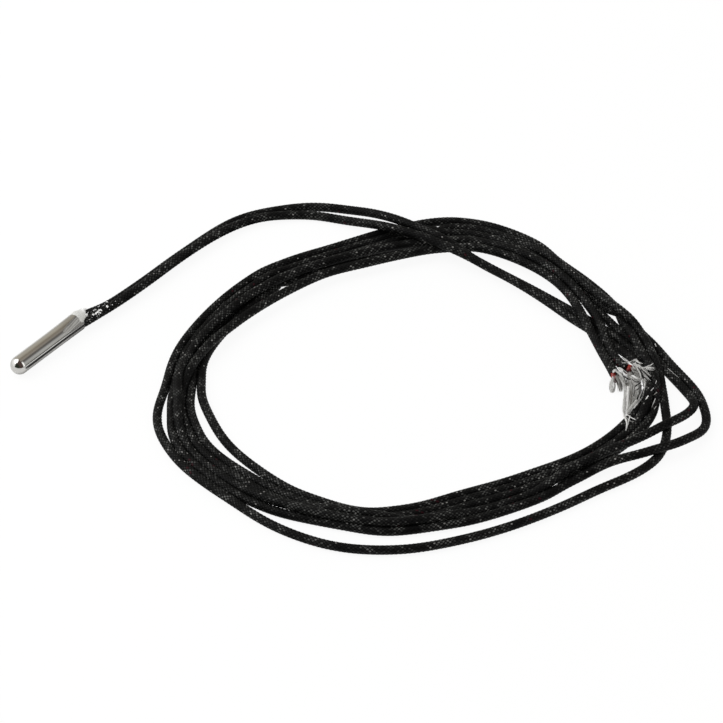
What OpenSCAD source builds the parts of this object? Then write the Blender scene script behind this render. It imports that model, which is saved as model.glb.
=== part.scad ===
// Cartridge thermistor: a glass-coated bead potted in a domed steel capsule, on two braided
// leads that are wound into a loose coil. X runs along the capsule from its tip to its mouth,
// the capsule and the coil lie on z = 0, and the origin is under the middle of the capsule
// with its potting.

/* [Capsule] */
// Outer diameter of the steel capsule
capsule_d = 3; // [2.6:0.1:5]
// Length of the capsule, from the tip of its dome to its mouth
capsule_len = 15; // [14:0.5:40]
// Wall thickness of the capsule
capsule_wall = 0.2; // [0.1:0.02:0.24]
// Length of the two flats that close the mouth on the leads
crimp_len = 4.2; // [3:0.1:6]
// How deep the flats press the wall in at the mouth
crimp_depth = 0.28; // [0.05:0.01:0.3]
// Turn of the flats about the capsule, from straight up
crimp_turn = 38; // [0:1:60]

/* [Potting] */
// How far the lump of cement stands out of the mouth
lump_len = 2.2; // [1.8:0.1:4]
// Rim of the mouth that the lump leaves bare
lump_margin = 0.08; // [0:0.02:0.2]
// Radius of the round end of the lump
lump_end_r = 0.75; // [0.5:0.05:1]

/* [Bead] */
// Length of the glass bead
bead_len = 2; // [1.6:0.1:3]
// Diameter of the glass bead
bead_d = 1.3; // [1:0.05:1.6]
// Cement between the bead and the inside of the dome
bead_gap = 0.6; // [0.3:0.1:1.5]
// Width and length of the ceramic chip
chip_w = 0.5; // [0.3:0.05:0.6]
// Thickness of the chip, between its electrodes
chip_t = 0.3; // [0.2:0.02:0.4]
// Diameter of the two bead wires
wire_d = 0.2; // [0.1:0.02:0.26]
// How deep a bead wire is seated in the chip's electrode
wire_seat = 0.04; // [0.02:0.01:0.06]

/* [Splices] */
// Length of wire between the bead and the sleeves
wire_reach = 1.4; // [1:0.1:3]
// Length of each splice ferrule
splice_len = 2; // [1.5:0.1:3]
// Outer diameter of each splice ferrule
splice_d = 0.6; // [0.56:0.02:0.64]
// Wall of each insulating sleeve
sleeve_wall = 0.12; // [0.08:0.01:0.14]
// Length of each insulating sleeve
sleeve_len = 3.4; // [3.2:0.1:3.8]
// Clearance between a splice and its sleeve
sleeve_fit = 0.02; // [0.01:0.01:0.04]

/* [Leads] */
// Outer diameter of the braided lead
lead_d = 1.4; // [1.2:0.05:1.4]
// Outer diameter of the insulation under the braid
core_d = 0.9; // [0.7:0.05:0.94]
// Diameter of the stranded conductor
conductor_d = 0.44; // [0.3:0.02:0.5]
// Gap between the two insulated cores in the capsule
core_gap = 0.16; // [0.06:0.01:0.2]
// Where the braids begin, beyond the mouth
braid_start = 0.8; // [0.6:0.1:1.2]
// Turn of the pair of leads about the capsule's axis
pair_turn = -25; // [-40:1:0]

/* [Coil] */
// Height of the coil, which is two leads deep
coil_h = 2.8; // [2.7:0.1:3.2]
// Height of the coil where the leads cross over it, as a share of the height elsewhere
coil_dip = 0.8; // [0.7:0.05:0.9]
// Gap between the coil and the leads that cross over it
cross_gap = 0.3; // [0.2:0.05:0.6]

/* [Cut ends] */
// Insulation that stands out of each cut braid
stub_len = 0.8; // [0.4:0.1:2]
// Conductor that stands out of the insulation
bare_len = 0.2; // [0.1:0.05:1]
// How much smaller the loose ring of braid is than the lead
braid_step = 0.1; // [0.06:0.02:0.2]
// Thickness of a lock of fibre at its root
lock_d = 0.34; // [0.2:0.02:0.4]

/* [Hidden] */

$fn = 48;
eps = 0.01;

// The two leads: a is the far and lower one at the mouth, b the near and upper one.
A = 1;
B = -1;

capsule_r = capsule_d / 2;
bore_r = capsule_r - capsule_wall;
axis_z = capsule_r;
mouth_x = (capsule_len - lump_len) / 2;
tip_x = mouth_x - capsule_len;
crimp_tilt = atan(crimp_depth / crimp_len);

// Places along the capsule, from the dome to the mouth
bead_x = tip_x + capsule_wall + bead_gap + bead_len / 2;
wire_bend_x = bead_x + bead_len / 2 + 0.2;
sleeve_x = bead_x + bead_len / 2 + wire_reach;
splice_x = sleeve_x + (sleeve_len - splice_len) / 2 - 0.2;
core_x = sleeve_x + sleeve_len;
braid_x = mouth_x + braid_start;

// Places across the capsule, each side of its axis
core_y = (core_d + core_gap) / 2;
braid_y = lead_d / 2 + 0.005;
wire_y = chip_t / 2 + wire_d / 2 - wire_seat;
sleeve_d = splice_d + 2 * (sleeve_fit + sleeve_wall);

lead_r = lead_d / 2;
cross_lift = coil_h * coil_dip + cross_gap;
cord_sides = 8;

// Routes of the leads from the mouth to the coil: x and y from the mouth, and how far the
// lead is lifted, as a share of what it takes to cross over the coil.
TAIL_A = [
    [2.8, 0.6, 0.18], [5.2, 0.4, 0.1], [8, 0, 0.03], [12, -0.3, 0], [16.5, -0.5, 0], [21.5, -0.4, 0],
    [26, -0.5, 0], [31, -0.7, 0], [36, -0.9, 0], [40, -2, 0], [43.6, -4.5, 0], [46.4, -7.2, 0],
    [48.6, -9.8, 0], [50.4, -12.8, 0.05], [51.5, -16, 0.3], [51.9, -19, 0.6], [52.1, -22.3, 0.9],
    [52.5, -26.5, 1], [53.1, -31, 0.88], [54, -36, 0.45], [54.7, -41, 0.08], [54.9, -46, 0],
    [55, -51, 0], [55, -56, 0], [54.9, -61, 0], [54.6, -65.5, 0],
    [54, -69.5, 0], [53.2, -73, 0], [52.4, -76.4, 0]
];
TAIL_B = [
    [2.8, -0.7, 0.4], [5.2, -1, 0.36], [8, -1.4, 0.3], [12, -1.7, 0.26], [16.5, -1.8, 0.26], [21.5, -1.8, 0.26],
    [26, -1.9, 0.24], [31, -2.1, 0.16], [35.5, -2.5, 0.04], [39.3, -3.8, 0], [42.4, -6.2, 0], [44.8, -8.9, 0],
    [46.5, -11.8, 0], [47.8, -15, 0.16], [48.5, -18.5, 0.48], [49, -21.5, 0.82], [50, -25.8, 1],
    [51.3, -30.5, 1], [52.4, -35.5, 0.78], [53.3, -40.5, 0.42], [53.6, -45, 0.32],
    [53.6, -50, 0.22], [53.5, -55, 0.06], [53.4, -60, 0], [53.1, -64.5, 0], [52.5, -68.5, 0],
    [51.7, -72, 0], [50.8, -75.3, 0], [49.8, -78.3, 0], [48.6, -81.2, 0]
];
// Routes of the cut ends, from where they leave the coil to where they are cut
END_A = [
    [60, -43.8, 0.5], [58.8, -47, 0.52], [57.6, -50.8, 0.54], [56.2, -55, 0.56], [54.2, -58.9, 0.56],
    [52.1, -62.4, 0.56], [50, -65.8, 0.56], [48, -69, 0.56], [46.4, -72.2, 0.55]
];
END_B = [
    [60.2, -44.5, 0.5], [59.5, -48.5, 0.52], [58.8, -52.6, 0.54], [57.6, -56.6, 0.56], [56.1, -60.3, 0.58],
    [54.5, -63.5, 0.58], [52.7, -66.6, 0.56], [50.9, -69.7, 0.56], [49.3, -72.6, 0.55]
];
// Middle of the coil from the mouth, and its inner and outer edges every 15 degrees,
// clockwise from +X
COIL_AT = [24.6, -52];
COIL_IN = [
    33.5, 34.5, 33, 35, 32, 29, 25.5, 24, 23.5, 24.5, 27.5, 29.5,
    30.5, 31, 32.5, 34, 34.5, 33, 31.5, 31, 31, 32.5, 34.5, 34
];
COIL_OUT = [
    38, 38, 39, 42.5, 45.5, 40, 36, 34.5, 34.5, 36, 38.5, 39,
    39.5, 41, 43, 43, 41, 40, 39.5, 39, 39, 41.5, 43, 41
];
// How far down the coil dips at each of those places, from none to all of the way
COIL_DIPS = [0, 0, 0, 0, 0, 0, 0, 0, 0, 0, 0, 0, 0, 0, 0, 0, 0, 0, 0.6, 1, 1, 1, 0.8, 0.2];
coil_rings = 60;
coil_sides = 12;
coil_power = 4;

// Locks of fibre at each cut end: the turn about the lead where a lock leaves the braid, then
// its points, x and y from the mouth and height as a share of the cut's height
LOCKS_A = [
    [250, [[45.2, -73.6, 0.6], [44.6, -74.2, 0.3], [43.9, -74.5, 0.15]]],
    [330, [[46.6, -73.7, 0.85], [46, -74.8, 0.5], [44.8, -75.3, 0.2]]],
    [90, [[45.8, -73.3, 1.4], [45.2, -74.4, 1.35]]],
    [180, [[45, -73, 0.75], [44.3, -73.5, 0.2]]]
];
LOCKS_B = [
    [270, [[48.2, -74.7, 0.5], [44.6, -77.2, 0.3], [41.4, -78.8, 0.2]]],
    [310, [[48.9, -75.1, 0.5], [46, -77.4, 0.25], [42.6, -78.6, 0.12]]],
    [200, [[47.4, -74.4, 0.7], [44, -76.2, 0.3], [41.6, -78.2, 0.15]]],
    [10, [[49.4, -74.6, 1], [47.8, -76.4, 0.7], [45.2, -77.9, 0.2]]],
    [50, [[50.2, -73.5, 1.45], [50.8, -74.8, 1.6], [50.7, -76.6, 1.5]]],
    [80, [[49.6, -73.6, 1.6], [49.6, -74.8, 1.75]]],
    [130, [[48.9, -73.4, 1.5], [48.5, -74.4, 1.6]]],
    [345, [[49.5, -74.7, 0.5], [48.4, -76, 0.2]]]
];
lock_rings = 9;
lock_sides = 6;

// A route's points, with the lead resting on the floor where it isn't lifted
function route(rows) = [for (p = rows) [mouth_x + p[0], p[1], lead_r + p[2] * cross_lift]];

// Where lead a or b leaves the cement, straight along the capsule
function braid_at(side, x) = [x, side * braid_y * cos(pair_turn), axis_z + side * braid_y * sin(pair_turn)];
function tail_path(side, rows) = concat([braid_at(side, braid_x), braid_at(side, braid_x + 0.9)], route(rows));

function unit(v) = v / norm(v);
function along(path, i) =
    unit(path[min(i + 1, len(path) - 1)] - path[max(i - 1, 0)]);
function across(t) = unit(cross([0, 0, 1], t));

// A list read smoothly between its entries, round and round
function smooth(list, at) =
    let (n = len(list), i = floor(at), u = at - i,
         a = list[(i + n - 1) % n], b = list[i % n], c = list[(i + 1) % n], d = list[(i + 2) % n])
    b + u / 2 * (c - a + u * (2 * a - 5 * b + 4 * c - d + u * (3 * (b - c) + d - a)));

// A tube through the points of a path, with one radius per point
module tube(path, radii, sides) {
    n = len(path);
    points = [
        for (i = [0:n - 1]) let (t = along(path, i), side = across(t), up = cross(t, side))
            for (k = [0:sides - 1]) let (a = 360 * (k + 0.5) / sides)
                path[i] + radii[i] * (cos(a) * side + sin(a) * up)
    ];
    walls = [
        for (i = [0:n - 2], k = [0:sides - 1])
            let (l = (k + 1) % sides, here = i * sides, next = here + sides)
                each [
                    [here + k, next + k, next + l],
                    [here + k, next + l, here + l]
                ]
    ];
    polyhedron(
        points,
        concat([[for (k = [0:sides - 1]) k]], walls, [[for (k = [sides - 1:-1:0]) (n - 1) * sides + k]]),
        convexity = 6
    );
}

module cord(path) {
    tube(path, [for (p = path) lead_r], cord_sides);
}

// Puts something on the capsule's axis, turned with the pair of leads
module in_pair() {
    translate([0, 0, axis_z])
        rotate([pair_turn, 0, 0])
            children();
}

// A rod along X from x1 to x2, beside the axis
module rod(x1, x2, d, y = 0) {
    translate([x1, y, 0])
        rotate([0, 90, 0])
            cylinder(h = x2 - x1, d = d);
}

// All that lies beyond a plane across the pair, which is turned from straight across
module beyond(x, y, turn) {
    translate([x, y, 0])
        rotate([0, 0, turn])
            translate([0, -capsule_d, -capsule_d])
                cube(2 * capsule_d);
}

// A rod in three straight lengths with mitred bends: along X, aslant and along X again
module bent_rod(x1, y1, bend1, bend2, y2, x2, d) {
    slant = atan2(y2 - y1, bend2 - bend1);
    difference() {
        rod(x1, bend1 + d, d, y1);
        beyond(bend1, y1, slant / 2);
    }
    difference() {
        translate([bend1, y1, 0])
            rotate([0, 0, slant])
                rod(-d, norm([bend2 - bend1, y2 - y1]) + d, d);
        beyond(bend1, y1, 180 + slant / 2);
        beyond(bend2, y2, slant / 2);
    }
    difference() {
        rod(bend2 - d, x2, d, y2);
        beyond(bend2, y2, 180 + slant / 2);
    }
}

// The space beyond the two flats of the crimp, for a wall at radius r
module beyond_flats(r) {
    for (turn = [crimp_turn, crimp_turn + 180])
        rotate([turn, 0, 0])
            translate([mouth_x - crimp_len, 0, r])
                rotate([0, crimp_tilt, 0])
                    translate([-capsule_d, -capsule_d, 0])
                        cube([crimp_len + 3 * capsule_d, 2 * capsule_d, capsule_d]);
}

// A round-ended bar on the capsule's axis with the crimp's flats, up to x
module crimped_bar(r, end_x) {
    translate([0, 0, axis_z])
        difference() {
            union() {
                rod(tip_x + capsule_r, end_x, 2 * r);
                translate([tip_x + capsule_r, 0, 0])
                    sphere(r = r);
            }
            beyond_flats(r);
        }
}

module capsule() {
    color("silver")
        difference() {
            crimped_bar(capsule_r, mouth_x);
            crimped_bar(bore_r, mouth_x + capsule_wall);
        }
}

// The lump is drawn out over the leads on the upper side of the mouth
module lump() {
    end_x = mouth_x + lump_len - lump_end_r;
    hull() {
        translate([mouth_x, 0, axis_z])
            rotate([0, 90, 0])
                cylinder(h = 0.15, r = capsule_r - crimp_depth - lump_margin, $fn = 32);
        translate([mouth_x, 0.25, axis_z + 0.2])
            rotate([0, 90, 0])
                cylinder(h = 0.5, r = capsule_r - crimp_depth - lump_margin, $fn = 32);
        translate([end_x, 0.3, axis_z + 0.5])
            sphere(r = lump_end_r, $fn = 32);
        translate([braid_x, -0.35, axis_z + 0.3])
            sphere(r = lump_end_r, $fn = 32);
    }
}

module potting() {
    color("whitesmoke")
        difference() {
            union() {
                crimped_bar(bore_r, mouth_x);
                lump();
            }
            in_pair() {
                bead_form();
                for (side = [A, B]) {
                    wire_form(side);
                    rod(sleeve_x, core_x, sleeve_d, side * core_y);
                    rod(core_x, braid_x, core_d, side * core_y);
                }
            }
            cord(tail_path(A, TAIL_A));
            cord(tail_path(B, TAIL_B));
        }
}

module chip_form() {
    translate([bead_x, 0, 0])
        cube([chip_w, chip_t, chip_w], center = true);
}

// The ceramic chip, with a wire fired on to the electrode of each broad face
module thermistor_chip() {
    color("dimgray")
        in_pair()
            difference() {
                chip_form();
                for (side = [A, B])
                    wire_form(side);
            }
}

// A wire from the chip's face out of the bead and into the splice
module wire_form(side) {
    bent_rod(
        bead_x - chip_w / 2 + 0.05, side * wire_y, wire_bend_x, sleeve_x - 0.3,
        side * core_y, splice_x + splice_len / 2, wire_d
    );
}

module bead_wire(side) {
    color("peru")
        in_pair()
            wire_form(side);
}

// A drop of glass, round at the tip and drawn out along the wires
module bead_form() {
    bead_r = bead_d / 2;
    neck_r = wire_y + wire_d;
    body_l = bead_len - 2 * bead_r;
    translate([bead_x - bead_len / 2, 0, 0])
        rotate([0, 90, 0])
            rotate_extrude()
                polygon(concat(
                    [for (a = [0:15:90]) [bead_r * sin(a), bead_r * (1 - cos(a))]],
                    [for (a = [0:15:90])
                        [neck_r + (bead_r - neck_r) * cos(a), bead_r + body_l + bead_r * sin(a)]],
                    [[0, bead_len]]
                ));
}

module glass_bead() {
    color("darkseagreen")
        in_pair()
            difference() {
                bead_form();
                chip_form();
                for (side = [A, B])
                    wire_form(side);
            }
}

// A ferrule crimped on the bead wire at one end and the lead's conductor at the other
module splice(side) {
    middle = splice_x + splice_len / 2;
    color("goldenrod")
        in_pair()
            difference() {
                rod(splice_x, splice_x + splice_len, splice_d, side * core_y);
                rod(splice_x - eps, middle, wire_d, side * core_y);
                rod(middle, splice_x + splice_len + eps, conductor_d, side * core_y);
            }
}

module insulating_sleeve(side) {
    color("orange")
        in_pair()
            difference() {
                rod(sleeve_x, core_x, sleeve_d, side * core_y);
                rod(sleeve_x - eps, core_x + eps, splice_d + 2 * sleeve_fit, side * core_y);
            }
}

// The insulated lead without its braid, from the sleeve to the mouth
module core(side) {
    color("firebrick")
        in_pair()
            difference() {
                rod(core_x, braid_x, core_d, side * core_y);
                rod(core_x - eps, braid_x + eps, conductor_d, side * core_y);
            }
}

module conductor(side) {
    color("lightgray")
        in_pair()
            rod(splice_x + splice_len / 2, braid_x, conductor_d, side * core_y);
}

// A braided lead, from the cement to the coil
module lead_tail(side, rows) {
    color([0.09, 0.09, 0.1])
        difference() {
            cord(tail_path(side, rows));
            coil_form();
        }
}

// The coil's rings stand upright round its middle, each one a rounded block
module coil_form() {
    n = coil_rings;
    m = coil_sides;
    power = 2 / coil_power;
    widest = pow(cos(180 / m), power);
    points = [
        for (i = [0:n - 1])
            let (turn = 360 * i / n, at = i * len(COIL_IN) / n,
                 r_in = smooth(COIL_IN, at), r_out = smooth(COIL_OUT, at),
                 high = coil_h * (1 - (1 - coil_dip) * smooth(COIL_DIPS, at)))
                for (k = [0:m - 1])
                    let (a = 360 * (k + 0.5) / m,
                         u = sign(cos(a)) * pow(abs(cos(a)), power) / widest,
                         v = sign(sin(a)) * pow(abs(sin(a)), power) / widest,
                         r = (r_in + r_out) / 2 + u * (r_out - r_in) / 2)
                        [mouth_x + COIL_AT[0] + r * cos(turn), COIL_AT[1] - r * sin(turn), high * (1 + v) / 2]
    ];
    faces = [
        for (i = [0:n - 1], k = [0:m - 1]) let (j = (i + 1) % n, l = (k + 1) % m)
            each [
                [i * m + k, j * m + l, i * m + l],
                [i * m + k, j * m + k, j * m + l]
            ]
    ];
    polyhedron(points, faces, convexity = 8);
}

module lead_coil() {
    color([0.08, 0.08, 0.09])
        coil_form();
}

module lead_end(rows) {
    color([0.09, 0.09, 0.1])
        difference() {
            cord(route(rows));
            coil_form();
        }
}

// Puts something at the cut end of a lead, its Z along the lead's own direction
module at_cut(rows) {
    path = route(rows);
    last = len(path) - 1;
    t = along(path, last);
    translate(path[last])
        rotate([0, acos(t[2]), atan2(t[1], t[0])])
            children();
}

module core_end(rows) {
    color("firebrick")
        at_cut(rows)
            difference() {
                cylinder(h = stub_len, d = core_d);
                translate([0, 0, -eps])
                    cylinder(h = stub_len + 2 * eps, d = conductor_d);
            }
}

module conductor_end(rows) {
    color("lightgray")
        at_cut(rows)
            cylinder(h = stub_len + bare_len, d = conductor_d);
}

// A point at u, from 0 to 1, on a smooth line through a few points
function on_line(points, u) =
    let (last = len(points) - 1, at = u * last, i = min(floor(at), last - 1), w = at - i,
         a = points[max(i - 1, 0)], b = points[i], c = points[i + 1], d = points[min(i + 2, last)])
    b + w / 2 * (c - a + w * (2 * a - 5 * b + 4 * c - d + w * (3 * (b - c) + d - a)));

// One lock of fibre, thick where it leaves the braid and thin at its tip
module lock(rows, row) {
    path = route(rows);
    cut = path[len(path) - 1];
    t = along(path, len(path) - 1);
    side = across(t);
    up = cross(t, side);
    root_r = (core_d + lock_d) / 2 + 0.02;
    root = cut + 0.6 * lock_d * t + root_r * (cos(row[0]) * side + sin(row[0]) * up);
    points = concat([root], [for (p = row[1]) [mouth_x + p[0], p[1], cut[2] * p[2]]]);
    tube(
        [for (i = [0:lock_rings - 1]) on_line(points, i / (lock_rings - 1))],
        [for (i = [0:lock_rings - 1]) lock_d / 2 * (1 - 0.75 * i / (lock_rings - 1))],
        lock_sides
    );
}

// The loose end of a braid: a short ring of it, with its locks of fibre
module glass_fray(rows, locks) {
    color("gainsboro") {
        at_cut(rows)
            difference() {
                cylinder(h = lock_d, d = lead_d - braid_step);
                translate([0, 0, -eps])
                    cylinder(h = lock_d + 2 * eps, d = core_d);
            }
        for (row = locks)
            lock(rows, row);
    }
}

capsule();
potting();
thermistor_chip();
glass_bead();
bead_wire(A);  // bead_wire_a
bead_wire(B);  // bead_wire_b
splice(A);  // splice_a
splice(B);  // splice_b
insulating_sleeve(A);  // insulating_sleeve_a
insulating_sleeve(B);  // insulating_sleeve_b
core(A);  // core_a
core(B);  // core_b
conductor(A);  // conductor_a
conductor(B);  // conductor_b
lead_tail(A, TAIL_A);  // lead_tail_a
lead_tail(B, TAIL_B);  // lead_tail_b
lead_coil();
lead_end(END_A);  // lead_end_a
lead_end(END_B);  // lead_end_b
core_end(END_A);  // core_end_a
core_end(END_B);  // core_end_b
conductor_end(END_A);  // conductor_end_a
conductor_end(END_B);  // conductor_end_b
glass_fray(END_A, LOCKS_A);  // glass_fray_a
glass_fray(END_B, LOCKS_B);  // glass_fray_b
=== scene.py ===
import math

import bpy
import numpy as np
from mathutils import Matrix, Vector


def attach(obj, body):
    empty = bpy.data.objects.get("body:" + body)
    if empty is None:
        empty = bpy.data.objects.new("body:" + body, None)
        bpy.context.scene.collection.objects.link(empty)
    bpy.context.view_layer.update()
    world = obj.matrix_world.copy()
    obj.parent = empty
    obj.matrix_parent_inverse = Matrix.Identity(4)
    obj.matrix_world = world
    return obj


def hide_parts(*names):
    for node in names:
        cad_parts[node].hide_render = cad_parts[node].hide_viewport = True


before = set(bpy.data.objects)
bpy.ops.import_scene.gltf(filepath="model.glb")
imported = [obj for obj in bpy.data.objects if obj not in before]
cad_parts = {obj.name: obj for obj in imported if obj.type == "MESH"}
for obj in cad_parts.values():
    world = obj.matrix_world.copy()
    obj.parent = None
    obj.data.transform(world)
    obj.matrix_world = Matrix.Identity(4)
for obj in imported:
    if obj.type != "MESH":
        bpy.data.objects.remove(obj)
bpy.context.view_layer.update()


# The camera stands 0.8 m from the table, 41 degrees above it, and looks at the middle of the
# picture's frame. Its long lens keeps the leads at nearly one scale from front to back.
MM = 0.001
CAMERA_AIM = np.array([30.5, -39.26, 0.0]) * MM
CAMERA_DISTANCE = 0.8
CAMERA_ELEVATION = math.radians(41)
CAMERA_HEADING = math.radians(49)
CAMERA_LENS = 250.96
CAMERA_SENSOR = 36

camera_data = bpy.data.cameras.new("camera")
camera_data.sensor_width = CAMERA_SENSOR
camera_data.lens = CAMERA_LENS
camera = bpy.data.objects.new("camera", camera_data)
bpy.context.scene.collection.objects.link(camera)
camera_back = np.array([
    -math.sin(CAMERA_HEADING) * math.cos(CAMERA_ELEVATION),
    -math.cos(CAMERA_HEADING) * math.cos(CAMERA_ELEVATION),
    math.sin(CAMERA_ELEVATION),
])
camera.location = CAMERA_AIM + CAMERA_DISTANCE * camera_back
camera.rotation_euler = (math.pi / 2 - CAMERA_ELEVATION, 0, -CAMERA_HEADING)
bpy.context.scene.camera = camera


# The two leads: a stranded conductor in red insulation under a close black braid of varnished
# glass yarn, 1.4 mm across. They leave the cement side by side, run on over the coil and are
# wound three times round before they are cut. Sizes are in millimetres.
LEAD_D = 1.4
LEAD_R = LEAD_D / 2
LINE_STEP = 1.0
CURVE_PARTS = 16

# The way of each lead from the cement to the coil, in millimetres, close to the solids' own
TAIL_A = [
    (6.5, 0.6, 1.62), (8, 0.6, 1.6), (9.2, 0.5, 1.4), (11.6, 0.2, 1), (14.4, -0.1, 0.8), (18.4, -0.3, 0.7),
    (23, -0.4, 0.7), (28, -0.3, 0.7), (32.4, -0.4, 0.7), (37.4, -0.6, 0.7), (42.3, -1.1, 0.7),
    (46, -2.4, 0.7), (49.7, -4.8, 0.7), (52.8, -7.2, 0.7), (55, -9.8, 0.7), (56.8, -12.8, 0.8),
    (57.9, -16, 1.5), (58.3, -19, 2.2), (58.5, -22.3, 3), (58.9, -26.5, 3.2), (59.6, -31, 2.9),
    (60.2, -36, 1.8), (60.9, -41, 0.9), (61.1, -46, 0.7), (61.2, -51, 0.7), (61.2, -56, 0.7),
    (61.3, -61, 0.7), (61, -65.5, 0.7), (60.4, -69.5, 0.7), (59.6, -73, 0.7), (58.4, -76.2, 0.7),
]
TAIL_B = [
    (6.5, -0.6, 1.44), (8, -0.8, 1.4), (9.2, -0.9, 1.5), (11.6, -1.1, 1.6), (14.4, -1.3, 1.6),
    (18.4, -1.4, 1.6), (23, -1.4, 1.6), (28, -1.3, 1.6), (32.4, -1.4, 1.6), (37.4, -1.6, 1.4),
    (42, -2.3, 1.2), (45.6, -3.8, 1.2), (48.8, -6.2, 1.1), (51.5, -8.8, 0.7), (53.3, -11.7, 0.7),
    (54.6, -15, 1.1), (55.4, -18.5, 1.9), (56, -21.5, 2.7), (56.9, -25.8, 3.2), (58.1, -30.5, 3.1),
    (59.1, -35.5, 2.8), (59.9, -40.5, 2), (60.2, -45, 1.8), (60.2, -50, 1.6), (60, -55, 1.3),
    (59.8, -60, 0.7), (59.5, -64.5, 0.7), (58.9, -68.5, 1),
]

# The turns of the coil: the direction from the coil's middle in degrees, clockwise from +X, how far
# away the lead runs in millimetres, and its level, 0 on the table, 1 or so on a lead
COIL_MIDDLE = (31, -52)
LEVEL = 1.2
TURNS_A = [
    [
        (48, 35.9, 0), (56, 33.9, 0), (65, 31.9, 0), (80, 29, 0), (97, 25.8, 0), (112, 24.5, 0),
        (127, 24.8, 0), (141, 27.2, 0), (150, 28.9, 0), (160, 30.1, 0), (170, 30.4, 0), (180, 31, 0),
        (195, 31.9, 0), (207, 33.2, 0), (219, 34.2, 0), (230, 35.4, 0), (245, 35.8, 0), (270, 34.9, 0),
        (295, 35.5, 0), (315, 38, 0), (330, 40.7, 0), (345, 39.1, 0),
    ],
    [
        (0, 36.3, 1), (15, 35.6, 1), (30, 36.8, 1), (47, 37, 0), (52, 37.3, 0), (58, 38.3, 0),
        (65, 39.1, 0), (72, 39.3, 0), (80, 37.6, 0), (89, 35.2, 0), (101, 33.9, 0), (116, 33.7, 0),
        (130, 34.6, 0), (145, 36.6, 0), (160, 38.3, 0), (175, 38.9, 0), (190, 39.3, 0), (200, 40.6, 0),
        (210, 42, 0), (217, 42.6, 0), (224, 42, 0), (232, 40.2, 0), (245, 40.1, 0), (270, 39.1, 0),
        (285, 38.6, 0), (300, 38.1, 0), (315, 40.6, 0), (330, 42.5, 0), (345, 40.7, 0),
    ],
    [
        (0, 36.8, 0), (12, 37.1, 0), (20, 35.9, 0), (30, 35.2, 1), (40, 35.6, 1), (47, 36.2, 1),
        (56, 36.3, 0), (65, 34.5, 0), (80, 31.2, 0), (97, 28.2, 0), (112, 27.2, 0), (127, 27.3, 0),
        (141, 29.4, 0), (153, 31.2, 1), (165, 32.2, 1), (180, 33.8, 0), (195, 35.6, 0), (210, 38, 0),
        (225, 38.4, 0), (240, 36.4, 1), (255, 33.9, 1), (265, 32.7, 1), (275, 32, 1), (290, 31.9, 1),
        (300, 31.6, 1), (315, 32.8, 1), (330, 35.4, 1), (345, 35.2, 1), (360, 33.7, 1), (372, 31, 1),
        (384, 29.6, 1), (391, 29.4, 1), (398, 29.7, 1), (404, 30.1, 1.2),
    ],
]
TURNS_B = [
    [
        (40, 34.5, 1), (47, 35.5, 1), (54, 35.2, 1), (65, 33.3, 0), (80, 30.2, 0), (97, 27, 0),
        (112, 25.8, 0), (127, 26.1, 0), (141, 28.2, 0), (153, 30.2, 0), (165, 31.3, 0), (180, 32.4, 0),
        (195, 34, 0), (207, 36.2, 0), (219, 37.1, 0), (230, 37, 0), (245, 36.8, 0), (270, 35.7, 0),
        (282, 34.5, 0), (300, 34.2, 0), (315, 36, 0), (330, 38.4, 0), (345, 37, 0),
    ],
    [
        (0, 35.6, 0), (15, 35.3, 0), (30, 37.9, 0), (40, 39.4, 0), (47, 41.3, 0), (52, 43.1, 0),
        (56, 44.4, 0), (60, 44.7, 0), (65, 42.9, 1), (70, 40.1, 1), (75, 36.5, 1), (82, 33.1, 1),
        (90, 31, 0), (105, 30.3, 0), (120, 30.3, 0), (135, 31.1, 0), (150, 33, 0), (160, 33.4, 0),
        (170, 34.6, 0), (180, 36.4, 0), (195, 38.4, 0), (210, 40.4, 0), (225, 39.9, 0), (240, 39.3, 0),
        (270, 37.6, 0), (300, 36.8, 0), (315, 38.9, 0), (330, 39.9, 0), (345, 38.3, 0),
    ],
    [
        (0, 36.4, 0), (15, 34.3, 0), (30, 35.9, 0), (40, 38.2, 0), (47, 41.1, 0), (51, 42.4, 0),
        (55, 42.7, 1), (59, 41, 1), (64, 37.9, 1), (70, 34.9, 1), (79, 31.8, 1), (90, 29.6, 1),
        (105, 28.8, 0), (120, 29, 0), (135, 30.3, 1), (150, 31.8, 1), (165, 33, 1), (180, 35.3, 1),
        (195, 37.1, 0), (210, 39.3, 0), (225, 38.8, 1), (240, 38, 1), (270, 35.4, 1), (300, 34, 1),
        (320, 35.6, 1), (335, 36.6, 1), (350, 35.4, 1), (362, 34.2, 1), (375, 32.6, 1), (386, 31.2, 1),
        (393, 30.6, 1), (398, 31.1, 1), (402, 32.2, 1.2),
    ],
]


def wound(tail, turns):
    """A lead's points: its tail, then each turn of the coil after the one before."""
    points = list(tail)
    for turn in turns:
        for direction, distance, level in turn:
            a = math.radians(-direction)
            x = COIL_MIDDLE[0] + distance * math.cos(a)
            y = COIL_MIDDLE[1] + distance * math.sin(a)
            points.append((x, y, LEAD_R + LEVEL * level))
    return points


def spaced(points, step):
    """The same line with its points evenly spaced, about a step apart."""
    lengths = np.linalg.norm(np.diff(points, axis=0), axis=1)
    along = np.concatenate([[0], np.cumsum(lengths)])
    wanted = np.linspace(0, along[-1], max(2, round(along[-1] / step) + 1))
    return np.stack([np.interp(wanted, along, points[:, k]) for k in range(3)], axis=1)


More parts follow.
